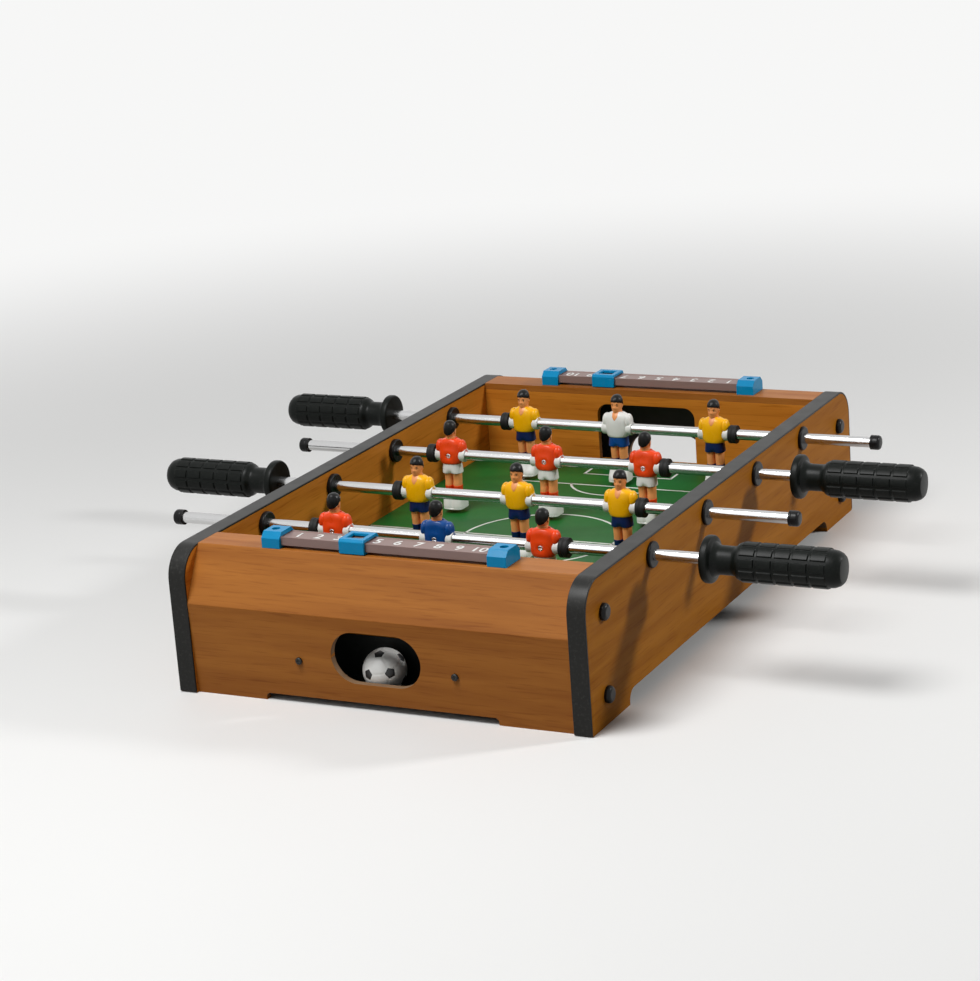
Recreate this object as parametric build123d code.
from build123d import *

import math
import os

# A tabletop foosball table, in millimetres. X runs along the rods, +X to the right.
# Y runs from goal to goal, -Y at the front. Z is up from the surface it stands on.

# Side panels and the strip round their edges
table_length = 508.0
cabinet_width = 310.0
cabinet_height = 101.6
panel_thickness = 13.0
panel_corner_radius = 22.0
panel_foot_length = 61.0
panel_cut_height = 10.0
panel_cut_radius = 8.0
band_thickness = 1.5
band_lift = 0.6

# Folded end boards and the goal walls behind them
board_thickness = 5.0
end_inset = 0.6
end_room = 15.4
upper_lean = 20.6
lower_lean = 3.0
fold_drop = 37.0
fold_radius = 1.2
shell_cut_width = 175.0
shell_cut_height = 5.0
shell_cut_radius = 3.0
wall_lift = 6.0
goal_width = 84.0
goal_height = 46.0
goal_corner_radius = 9.0

# Ball, the tray that catches it and the slot it is taken out of
ball_diameter = 30.0
ball_offset = 5.5
ball_gap = 0.3
slot_length = 67.0
slot_margin = 6.5
slot_lip = 11.5
tray_width = 132.0
tray_wall = 2.0
tray_lift = 5.0
tray_ear = 12.0
tray_drop = 2.0
tray_screw_diameter = 2.6
tray_screw_drop = 7.0
tray_screw_inset = 7.5
tray_head_diameter = 5.0
tray_head_height = 1.8
tray_head_gap = 0.3

# Playfield board and the grooves that hold it
playfield_thickness = 3.0
wall_groove = 3.0
panel_groove = 4.0

# Corner blocks inside the ends, with their screws and caps
block_width = 24.0
block_setback = 0.8
block_lift = 8.0
block_top_gap = 6.6
cabinet_screw_diameter = 4.0
cabinet_screw_bite = 18.0
cabinet_screw_inset = 27.0
cabinet_screw_lift = 20.0
cabinet_screw_drop = 25.6
cabinet_head_diameter = 8.0
cabinet_head_height = 2.4
cabinet_head_round = 0.8
cap_rim = 1.8
cap_roof = 1.4
cap_round = 2.6

# Rods with their bushings, bumpers and end caps
rod_diameter = 8.0
rod_wall = 1.0
rod_below_top = 13.1
goal_clear = 62.5
running_clearance = 0.08
fixed_clearance = 0.05
face_gap = 0.3
bushing_wall = 2.0
bushing_rim = 3.0
bushing_flange = 2.5
bushing_ring = 3.5
bushing_round = 1.0
bumper_wall = 3.0
bumper_length = 6.0
bumper_round = 1.2
end_cap_wall = 1.5
end_cap_length = 7.5
end_cap_clear = 9.0
end_cap_round = 2.0

# Where each rod stands in its travel, from -1 at the left stop to 1 at the right one
rod_stands = {"red_goal": -0.1, "yellow_attack": 0.27, "red_attack": -0.3, "yellow_goal": 0.1}

# Handles
handle_gap = 1.0
handle_length = 95.5
handle_nose = 15.5
flange_diameter = 32.0
flange_length = 6.0
flange_round = 2.0
flange_taper = 4.0
neck_diameter = 19.5
neck_end = 22.0
grip_diameter = 27.0
grip_start = 26.0
grip_tip = 9.0
grip_tip_sweep = 60.0
groove_count = 10
groove_radius = 1.4
groove_lead = 2.0
band_count = 4
band_width = 1.6
band_depth = 1.0

# Men: heights are measured from the rod's axis
man_spacing = 80.5
hub_length = 25.0
hub_wall = 1.2
head_top = 27.0
foot_drop = 42.5
foot_clearance = 3.0
torso_depth = 13.0
foot_width = 16.5
foot_height = 11.0
foot_heel = 7.5
foot_toe = 9.0
toe_slope_length = 5.0
toe_slope_drop = 3.75
leg_groove = 1.2
leg_sink = 1.5
head_width = 9.8
neck_width = 6.8
neck_base = 11.5
chin_gap = 1.5
section_round = 0.3
man_screw_diameter = 2.2
man_screw_head = 4.6
man_screw_head_height = 1.4
man_recess = 1.3
man_screw_length = 10.0

# Sections of a man, each a height from the rod's axis, a width and a depth
shirt_sections = (
    (-6.5, 14.6, torso_depth),
    (1.0, 15.6, torso_depth),
    (5.0, 21.0, 12.5),
    (8.5, 25.2, 11.5),
    (13.0, 15.0, 8.0),
)
shorts_sections = ((-14.3, 16.2, torso_depth), (-5.5, 14.8, 12.5))
leg_sections = ((foot_height - foot_drop - leg_sink, 13.4, 8.5), (-14.0, 14.8, 9.5))

# Score counters on the two ledges
bar_length = 155.0
bar_depth = 16.0
bar_height = 6.0
bar_lift = 2.0
bar_socket = 4.0
counter_setback = 14.0
counter_depth = 21.0
counter_block_width = 14.0
counter_block_height = 11.0
counter_bevel = 4.0
counter_screw_offset = 1.0
counter_screw_diameter = 2.6
counter_head_diameter = 5.0
counter_head_height = 1.8
counter_recess = 4.5
counter_screw_bite = 4.5
number_count = 10
number_pitch = 15.0
marker_width = 19.0
marker_lift = 0.5
marker_height = 10.5
marker_bevel = 1.6
marker_window = (12.0, 10.0)
marker_numbers = {"front": 4, "rear": 3}

# Room round a screw head in its recess, and how far a cutting shape passes what it cuts
recess_clearance = 0.4
overcut = 1.0

# Places that follow from the sizes above
outer_half = cabinet_width / 2
inner_half = outer_half - panel_thickness
fold_y = table_length / 2 - end_inset
ledge_outer_y = fold_y - upper_lean
field_end = fold_y - ball_diameter - end_room
ledge_depth = ledge_outer_y - field_end
fold_z = cabinet_height - fold_drop
rod_z = cabinet_height - rod_below_top
field_z = rod_z - foot_drop - foot_clearance
field_under = field_z - playfield_thickness
rod_radius = rod_diameter / 2
rod_pitch = 2 * (field_end - goal_clear) / (len(rod_stands) - 1)
rod_rows = [(i - (len(rod_stands) - 1) / 2) * rod_pitch for i in range(len(rod_stands))]
hub_radius = rod_radius + hub_wall
bushing_radius = rod_radius + bushing_wall
bushing_flange_radius = bushing_radius + bushing_rim
bumper_radius = rod_radius + bumper_wall
bumper_start = man_spacing + hub_length / 2 + face_gap
bumper_end = bumper_start + bumper_length
rod_travel = inner_half - bushing_ring - bumper_end
handle_start = outer_half + bushing_flange + rod_travel + handle_gap
handle_bore = handle_length - handle_nose
end_cap_start = outer_half + bushing_flange + rod_travel + end_cap_clear
end_cap_end = end_cap_start + end_cap_length
cabinet_screw_y = table_length / 2 - cabinet_screw_inset
cabinet_screw_heights = (cabinet_screw_lift, cabinet_height - cabinet_screw_drop)
wall_top = cabinet_height - board_thickness
tray_floor = tray_lift + tray_wall
tray_top = field_under - tray_drop
slot_height = ball_diameter + slot_margin
slot_z = tray_floor + slot_lip + slot_height / 2
tray_screw_x = tray_width / 2 - tray_screw_inset
tray_screw_z = tray_top - tray_screw_drop
counter_y = field_end + counter_setback
counter_block_x = bar_length / 2 + counter_block_width / 2
counter_screw_x = counter_block_x + counter_screw_offset

TURN = Rot(0, 0, 180)


def x_cylinder(radius, start, end):
    """A cylinder along X between two places."""
    return Pos((start + end) / 2, 0, 0) * Rot(0, 90, 0) * Cylinder(radius, end - start)


def y_cylinder(radius, start, end):
    """A cylinder along Y between two places."""
    return Pos(0, (start + end) / 2, 0) * Rot(90, 0, 0) * Cylinder(radius, end - start)


def x_tube(outer, inner, start, end):
    """A ring along X, open at both ends."""
    return x_cylinder(outer, start, end) - x_cylinder(inner, start - overcut, end + overcut)


def block(low, high):
    """A box between two corners."""
    size = [b - a for a, b in zip(low, high)]
    middle = [(a + b) / 2 for a, b in zip(low, high)]
    return Pos(*middle) * Box(*size)


def side_profile(points):
    """A face in the YZ plane through the given (y, z) points."""
    return make_face(Plane.YZ * Polyline(*points, close=True))


def across(face, half_width):
    """A YZ face drawn out both ways along X."""
    return extrude(face, half_width, dir=(1, 0, 0), both=True)


def round_rims(shape, radius, place):
    """Round the circular edges of a turned piece that lie at one X place."""
    rims = [e for e in shape.edges().filter_by(GeomType.CIRCLE) if abs(e.arc_center.X - place) < 0.01]
    widest = max(e.radius for e in rims)
    return fillet([e for e in rims if e.radius > widest - 0.01], radius)


def arched_cut(width, height, radius):
    """A cut-out that stands on the floor line, with its two upper corners rounded."""
    cut = Rectangle(width, 2 * height)
    return fillet(cut.vertices().filter_by(lambda v: v.Y > 0), radius)


def panel_outline(inset):
    """A side panel seen from the side, drawn in from its banded edges."""
    length = table_length - 2 * inset
    height = cabinet_height - inset
    board = Pos(0, height / 2) * Rectangle(length, height)
    board = fillet(board.vertices().filter_by(lambda v: v.Y > height / 2), panel_corner_radius - inset)
    cut_width = table_length - 2 * panel_foot_length
    return board - arched_cut(cut_width, panel_cut_height, panel_cut_radius)


def right_panel():
    """The right side panel with its playfield groove, bushing holes and screw holes."""
    board = Pos(inner_half, 0, 0) * extrude(Plane.YZ * panel_outline(band_thickness), panel_thickness)
    groove_end = field_end + wall_groove
    low = (inner_half - overcut, -groove_end, field_under)
    board -= block(low, (inner_half + panel_groove, groove_end, field_z))
    through = (inner_half - overcut, outer_half + overcut)
    for y in rod_rows:
        board -= Pos(0, y, rod_z) * x_cylinder(bushing_radius + fixed_clearance, *through)
    for y in (-cabinet_screw_y, cabinet_screw_y):
        for z in cabinet_screw_heights:
            board -= Pos(0, y, z) * x_cylinder(cabinet_screw_diameter / 2 + fixed_clearance, *through)
    return board


def right_band():
    """The black strip over the ends and the top of the right panel."""
    ring = panel_outline(0) - panel_outline(band_thickness)
    strip = Pos(inner_half, 0, 0) * extrude(Plane.YZ * ring, panel_thickness)
    return strip - block((0, -table_length, -overcut), (cabinet_width, table_length, band_lift))


def shell_inner_y(z):
    """Inside face of the lower end board at a height."""
    lean = lower_lean / fold_z
    return fold_y - lower_lean + lean * z - board_thickness * math.hypot(1, lean)


def upper_inner_y(z):
    """Inside face of the slanting upper end board at a height."""
    lean = upper_lean / fold_drop
    return ledge_outer_y + lean * (cabinet_height - z) - board_thickness * math.hypot(1, lean)


def inner_fold():
    """The (y, z) place where the two inside faces of the end board meet."""
    closing = lower_lean / fold_z + upper_lean / fold_drop
    z = (upper_inner_y(0) - shell_inner_y(0)) / closing
    return shell_inner_y(z), z


def rear_shell():
    """The folded rear end board: ledge, slanting face and lower face with the ball slot."""
    creases = [(ledge_outer_y, cabinet_height), (fold_y, fold_z)]
    face = side_profile((
        (field_end, cabinet_height),
        *creases,
        (fold_y - lower_lean, 0),
        (shell_inner_y(0), 0),
        inner_fold(),
        (upper_inner_y(wall_top), wall_top),
        (field_end, wall_top),
    ))
    corners = [face.vertices().sort_by_distance((0, y, z))[0] for y, z in creases]
    shell = across(fillet(corners, fold_radius), inner_half)
    reach = table_length / 2
    slot = Plane.XZ * Pos(0, slot_z) * SlotOverall(slot_length, slot_height)
    shell -= Pos(0, reach, 0) * extrude(slot, reach - ledge_outer_y + ledge_depth / 2)
    foot_cut = Plane.XZ * arched_cut(shell_cut_width, shell_cut_height, shell_cut_radius)
    shell -= Pos(0, reach, 0) * extrude(foot_cut, reach - field_end)
    tray_hole = tray_screw_diameter / 2 + fixed_clearance
    for x in (-tray_screw_x, tray_screw_x):
        shell -= Pos(x, 0, tray_screw_z) * y_cylinder(tray_hole, field_end, reach)
    counter_hole = Cylinder(counter_screw_diameter / 2 + fixed_clearance, 2 * (board_thickness + overcut))
    for x in (-counter_screw_x, counter_screw_x):
        shell -= Pos(x, counter_y, cabinet_height) * counter_hole
    return shell


def rear_wall():
    """The wall behind the rear goal line, with the goal mouth and a bay for the tray."""
    low = (-inner_half, field_end, wall_lift)
    wall = block(low, (inner_half, field_end + board_thickness, wall_top))
    mouth = Pos(0, field_z + goal_height / 2) * Rectangle(goal_width, goal_height)
    mouth = fillet(mouth.vertices().sort_by(Axis.Y)[-2:], goal_corner_radius)
    wall -= Pos(0, table_length / 2, 0) * extrude(Plane.XZ * mouth, table_length / 2)
    front = field_end - overcut
    wall -= block((-inner_half, front, field_under), (inner_half, field_end + wall_groove, field_z))
    bay = tray_width / 2 + face_gap
    wall -= block((-bay, front, 0), (bay, table_length / 2, tray_top + face_gap))
    return wall


def playfield():
    """The printed board, held in grooves on all four sides."""
    half_length = field_end + wall_groove
    half_width = inner_half + panel_groove
    return block((-half_width, -half_length, field_under), (half_width, half_length, field_z))


def rear_tray():
    """The moulded ball tray: a floor, a back, two cheeks and two ears for its screws."""
    half = tray_width / 2
    inside = field_end + tray_wall
    seat = ((shell_inner_y(tray_lift), tray_lift), (shell_inner_y(tray_top), tray_top))
    tray = across(side_profile(((field_end, tray_lift), *seat, (field_end, tray_top))), half)
    low = (tray_wall - half, inside, tray_floor)
    tray -= block(low, (half - tray_wall, table_length, tray_top + overcut))
    ear_back = [(y - tray_wall, z) for y, z in reversed(seat)]
    ear = across(side_profile((*seat, *ear_back)), tray_ear / 2)
    for x in (tray_ear / 2 - half, half - tray_ear / 2):
        tray += Pos(x, 0, 0) * ear
    hole = y_cylinder(tray_screw_diameter / 2 + fixed_clearance, inside + overcut, table_length)
    for x in (-tray_screw_x, tray_screw_x):
        tray -= Pos(x, 0, tray_screw_z) * hole
    return tray


def rear_tray_screws():
    """Two pan-head screws through the end board into the tray's ears."""
    seat = fold_y - lower_lean * (1 - tray_screw_z / fold_z) + tray_head_gap
    tip = shell_inner_y(tray_screw_z) - 2 * tray_wall
    screw = y_cylinder(tray_screw_diameter / 2, tip, seat)
    screw += y_cylinder(tray_head_diameter / 2, seat, seat + tray_head_height)
    return [Pos(x, 0, tray_screw_z) * screw for x in (-tray_screw_x, tray_screw_x)]


def rear_ball():
    """A ball lying in the tray, against the lip of the slot."""
    radius = ball_diameter / 2
    middle_z = tray_floor + ball_gap + radius
    lip_y = shell_inner_y(tray_floor + slot_lip)
    return Pos(ball_offset, lip_y - ball_gap - radius, middle_z) * Sphere(radius)


def corner_blocks():
    """Four wooden blocks in the corners of the ends, which the cabinet screws bite into."""
    low = (inner_half - block_width, field_end + board_thickness, block_lift)
    top = wall_top - block_top_gap
    piece = block(low, (inner_half, upper_inner_y(top) - block_setback, top))
    hole = x_cylinder(cabinet_screw_diameter / 2 + fixed_clearance, 0, outer_half)
    for z in cabinet_screw_heights:
        piece -= Pos(0, cabinet_screw_y, z) * hole
    pair = [piece, mirror(piece, about=Plane.XZ)]
    return pair + [TURN * corner for corner in pair]


def screw_places():
    """Turned copies of one place on the right panel, for each cabinet screw."""
    for turn in (Pos(0, 0, 0), TURN):
        for y in (-cabinet_screw_y, cabinet_screw_y):
            for z in cabinet_screw_heights:
                yield turn * Pos(0, y, z)


def cabinet_screws():
    """Screws through the side panels into the corner blocks."""
    tip = inner_half - cabinet_screw_bite
    shank = x_cylinder(cabinet_screw_diameter / 2, tip, outer_half)
    head = x_cylinder(cabinet_head_diameter / 2, outer_half, outer_half + cabinet_head_height)
    screw = round_rims(shank + head, cabinet_head_round, outer_half + cabinet_head_height)
    return [place * screw for place in screw_places()]


def screw_caps():
    """Domed black caps that snap over the screw heads."""
    bore = cabinet_head_diameter / 2 + fixed_clearance
    depth = cabinet_head_height + fixed_clearance
    dome = x_cylinder(bore + cap_rim, outer_half, outer_half + depth + cap_roof)
    dome = round_rims(dome, cap_round, outer_half + depth + cap_roof)
    dome -= x_cylinder(bore, outer_half - overcut, outer_half + depth)
    return [place * dome for place in screw_places()]


def bushing_places():
    """Turned copies of one place on the right panel, for each rod hole."""
    for turn in (Pos(0, 0, 0), TURN):
        for y in rod_rows:
            yield turn * Pos(0, y, rod_z)


def bushing_sleeves():
    """Flanged sleeves pushed through the panels from outside."""
    bore = rod_radius + running_clearance
    sleeve = x_cylinder(bushing_radius, inner_half - bushing_ring, outer_half)
    sleeve += x_cylinder(bushing_flange_radius, outer_half, outer_half + bushing_flange)
    sleeve = round_rims(sleeve, bushing_round, outer_half + bushing_flange)
    sleeve -= x_cylinder(bore, 0, cabinet_width)
    return [place * sleeve for place in bushing_places()]


def bushing_rings():
    """Rings pressed onto the sleeves against the inside of the panels."""
    ring = x_cylinder(bushing_flange_radius, inner_half - bushing_ring, inner_half)
    ring = round_rims(ring, bushing_round, inner_half - bushing_ring)
    ring -= x_cylinder(bushing_radius + fixed_clearance, 0, cabinet_width)
    return [place * ring for place in bushing_places()]


def rod_tube():
    """A steel tube, handle to the right, drilled across for the men's screws."""
    tube_end = handle_start + handle_bore - face_gap
    tube = x_tube(rod_radius, rod_radius - rod_wall, end_cap_wall - end_cap_end, tube_end)
    hole = man_screw_diameter / 2 + fixed_clearance
    for x in (-man_spacing, 0, man_spacing):
        tube -= Pos(x, 0, 0) * y_cylinder(hole, -rod_diameter, rod_diameter)
    return tube


def end_cap():
    """A moulded cap over the far end of a rod."""
    cap = x_cylinder(rod_radius + end_cap_wall, -end_cap_end, -end_cap_start)
    cap = round_rims(cap, end_cap_round, -end_cap_end)
    return cap - x_cylinder(rod_radius + fixed_clearance, end_cap_wall - end_cap_end, 0)


def handle():
    """A turned handle with a guard flange, a neck and a grip broken into pads."""
    grip = grip_diameter / 2
    tip_start = handle_length - grip_tip
    side = Polyline(
        (0, 0),
        (0, flange_diameter / 2),
        (flange_length, flange_diameter / 2),
        (flange_length + flange_taper, neck_diameter / 2),
        (neck_end, neck_diameter / 2),
        (grip_start, grip),
        (tip_start, grip),
    )
    tip = JernArc((tip_start, grip), (1, 0), grip_tip, -grip_tip_sweep)
    nose = Line(tip @ 1, (handle_length, 0))
    body = revolve(make_face([side, tip, nose, Line((handle_length, 0), (0, 0))]), Axis.X)
    body = round_rims(body, flange_round, 0)
    groove = Pos(0, grip, 0) * x_cylinder(groove_radius, grip_start - groove_lead, handle_length)
    for i in range(groove_count):
        body -= Rot(360 / groove_count * (i + 0.5), 0, 0) * groove
    pad = (tip_start - grip_start) / (band_count + 1)
    for i in range(band_count):
        place = grip_start + pad * (i + 1)
        body -= x_tube(grip + overcut, grip - band_depth, place - band_width / 2, place + band_width / 2)
    body -= x_cylinder(rod_radius + fixed_clearance, -overcut, handle_bore)
    return Pos(handle_start, 0, 0) * body


def bumpers():
    """Two rubber rings outside the outer men."""
    ring = x_cylinder(bumper_radius, bumper_start, bumper_end)
    ring = round_rims(ring, bumper_round, bumper_end)
    ring = round_rims(ring, bumper_round, bumper_start)
    ring -= x_cylinder(rod_radius + running_clearance, 0, cabinet_width)
    return [ring, TURN * ring]


def lofted(sections):
    """A stack of rounded rectangles (height, width, depth), joined by ruled sides."""
    rings = [Pos(0, 0, z) * RectangleRounded(w, d, section_round * min(w, d)) for z, w, d in sections]
    return loft(rings, ruled=True)


def man():
    """A moulded player on the hub, facing +Y, with the rod's axis at the origin."""
    figure = lofted(shirt_sections) + lofted(shorts_sections)
    split_start = leg_sections[0][2] / 2 - leg_groove
    split_low = (-leg_groove / 2, split_start, -foot_drop)
    split = block(split_low, (leg_groove / 2, torso_depth, shorts_sections[0][0]))
    figure += lofted(leg_sections) - split - TURN * split
    foot_top = foot_height - foot_drop
    foot = block((-foot_width / 2, -foot_heel, -foot_drop), (foot_width / 2, foot_toe, foot_top))
    toe_edge = foot.edges().filter_by(Axis.X).sort_by_distance((0, foot_toe, foot_top))[0]
    figure += chamfer(toe_edge, toe_slope_length, toe_slope_drop)
    neck_height = (head_top - neck_base) / 2
    figure += Pos(0, 0, neck_base + neck_height / 2) * Cylinder(neck_width / 2, neck_height)
    skull = (head_top - neck_base - chin_gap) / 2
    outline = EllipticalCenterArc((0, 0), head_width / 2, skull, start_angle=-90, arc_size=180)
    head = revolve(make_face(Plane.XZ * (outline + Line((0, skull), (0, -skull)))), Axis.Z)
    figure += Pos(0, 0, head_top - skull) * head
    figure += x_cylinder(hub_radius, -hub_length / 2, hub_length / 2)
    figure -= x_cylinder(rod_radius + fixed_clearance, -hub_length, hub_length)
    back = torso_depth / 2
    figure -= y_cylinder(man_screw_head / 2 + recess_clearance, -torso_depth, man_recess - back)
    hole = man_screw_diameter / 2 + fixed_clearance
    return figure - y_cylinder(hole, -torso_depth, man_screw_length - back)


def man_screw():
    """The screw that pins a player to the rod, from the back."""
    seat = man_recess - torso_depth / 2
    shank = y_cylinder(man_screw_diameter / 2, seat, seat + man_screw_length - 2 * man_recess)
    return shank + y_cylinder(man_screw_head / 2, seat - man_screw_head_height, seat)


def rear_counter_bar():
    """The flat numbered bar of a score counter."""
    half = bar_length / 2 + bar_socket
    low = (-half, counter_y - bar_depth / 2, cabinet_height + bar_lift)
    return block(low, (half, counter_y + bar_depth / 2, cabinet_height + bar_lift + bar_height))


def rear_counter_blocks():
    """The two end blocks of a score counter, socketed for the bar and bored for a screw."""
    half = counter_depth / 2
    top = cabinet_height + counter_block_height
    profile = side_profile((
        (counter_y - half, cabinet_height),
        (counter_y + half, cabinet_height),
        (counter_y + half, top - counter_bevel),
        (counter_y + half - counter_bevel, top),
        (counter_y - half + counter_bevel, top),
        (counter_y - half, top - counter_bevel),
    ))
    blocks = []
    for side in (-1, 1):
        piece = Pos(side * counter_block_x, 0, 0) * across(profile, counter_block_width / 2)
        piece -= rear_counter_bar()
        place = Pos(side * counter_screw_x, counter_y, top)
        piece -= place * Cylinder(counter_head_diameter / 2 + recess_clearance, 2 * counter_recess)
        piece -= place * Cylinder(counter_screw_diameter / 2 + fixed_clearance, 4 * counter_block_height)
        blocks.append(piece)
    return blocks


def rear_counter_screws():
    """Screws that hold the counter's end blocks down on the ledge."""
    seat = cabinet_height + counter_block_height - counter_recess
    tip = cabinet_height - counter_screw_bite
    shank = Cylinder(counter_screw_diameter / 2, seat - tip)
    head = Cylinder(counter_head_diameter / 2, counter_head_height)
    screw = Pos(0, 0, (seat + tip) / 2) * shank + Pos(0, 0, seat + counter_head_height / 2) * head
    return [Pos(x, counter_y, 0) * screw for x in (-counter_screw_x, counter_screw_x)]


def marker(place):
    """The sliding frame that rings the number reached, at one place along the bar."""
    low = cabinet_height + marker_lift
    high = cabinet_height + marker_height
    half = counter_depth / 2
    profile = side_profile((
        (counter_y - half, low),
        (counter_y + half, low),
        (counter_y + half, high - marker_bevel),
        (counter_y + half - marker_bevel, high),
        (counter_y - half + marker_bevel, high),
        (counter_y - half, high - marker_bevel),
    ))
    frame = across(profile, marker_width / 2)
    bar_low = cabinet_height + bar_lift - face_gap
    bar_high = cabinet_height + bar_lift + bar_height + face_gap
    reach = bar_depth / 2 + face_gap
    frame -= block((-marker_width, counter_y - reach, bar_low), (marker_width, counter_y + reach, bar_high))
    window_x, window_y = (size / 2 for size in marker_window)
    low_corner = (-window_x, counter_y - window_y, bar_high - overcut)
    frame -= block(low_corner, (window_x, counter_y + window_y, high + overcut))
    return Pos(place, 0, 0) * frame


def marker_place(end):
    """Where a marker stands so that its window shows its number."""
    return (marker_numbers[end] - (number_count + 1) / 2) * number_pitch


def save(name, *shapes):
    """Write one node, as one solid or a group of separate solids."""
    whole = shapes[0] if len(shapes) == 1 else Compound(children=list(shapes))
    export_step(whole, os.path.join("parts", name + ".step"))


os.makedirs("parts", exist_ok=True)

save("side_panel_right", right_panel())
save("side_panel_left", TURN * right_panel())
save("edge_band_right", right_band())
save("edge_band_left", TURN * right_band())
save("end_shell_rear", rear_shell())
save("end_shell_front", TURN * rear_shell())
save("goal_wall_rear", rear_wall())
save("goal_wall_front", TURN * rear_wall())
save("playfield", playfield())
save("corner_blocks", *corner_blocks())
save("cabinet_screws", *cabinet_screws())
save("screw_caps", *screw_caps())
save("bushing_sleeves", *bushing_sleeves())
save("bushing_rings", *bushing_rings())
save("ball_tray_rear", rear_tray())
save("ball_tray_front", TURN * rear_tray())
save("tray_screws", *rear_tray_screws(), *[TURN * s for s in rear_tray_screws()])
save("ball_rear", rear_ball())
save("ball_front", TURN * rear_ball())
save("counter_bar_rear", rear_counter_bar())
save("counter_bar_front", TURN * rear_counter_bar())
save("counter_blocks_rear", *rear_counter_blocks())
save("counter_blocks_front", *[TURN * b for b in rear_counter_blocks()])
save("counter_screws", *rear_counter_screws(), *[TURN * s for s in rear_counter_screws()])
save("score_marker_rear", marker(marker_place("rear")))
save("score_marker_front", TURN * marker(-marker_place("front")))

one_man = man()
one_handle = handle()
for (team, stand), y in zip(rod_stands.items(), rod_rows):
    # The red team looks towards +Y with its handles on the right, the yellow team the other way.
    facing = Pos(0, 0, 0) if team.startswith("red") else TURN
    rod_place = Pos(stand * rod_travel, y, rod_z) * facing
    save(team + "_rod", rod_place * rod_tube())
    save(team + "_handle", rod_place * one_handle)
    save(team + "_end_cap", rod_place * end_cap())
    save(team + "_bumpers", *[rod_place * ring for ring in bumpers()])
    centre = "keeper" if team.endswith("goal") else "man_centre"
    men_places = {"man_left": -man_spacing, centre: 0, "man_right": man_spacing}
    for name, x in men_places.items():
        save(team + "_" + name, Pos(x, 0, 0) * rod_place * one_man)
    save(team + "_man_screws", *[Pos(x, 0, 0) * rod_place * man_screw() for x in men_places.values()])
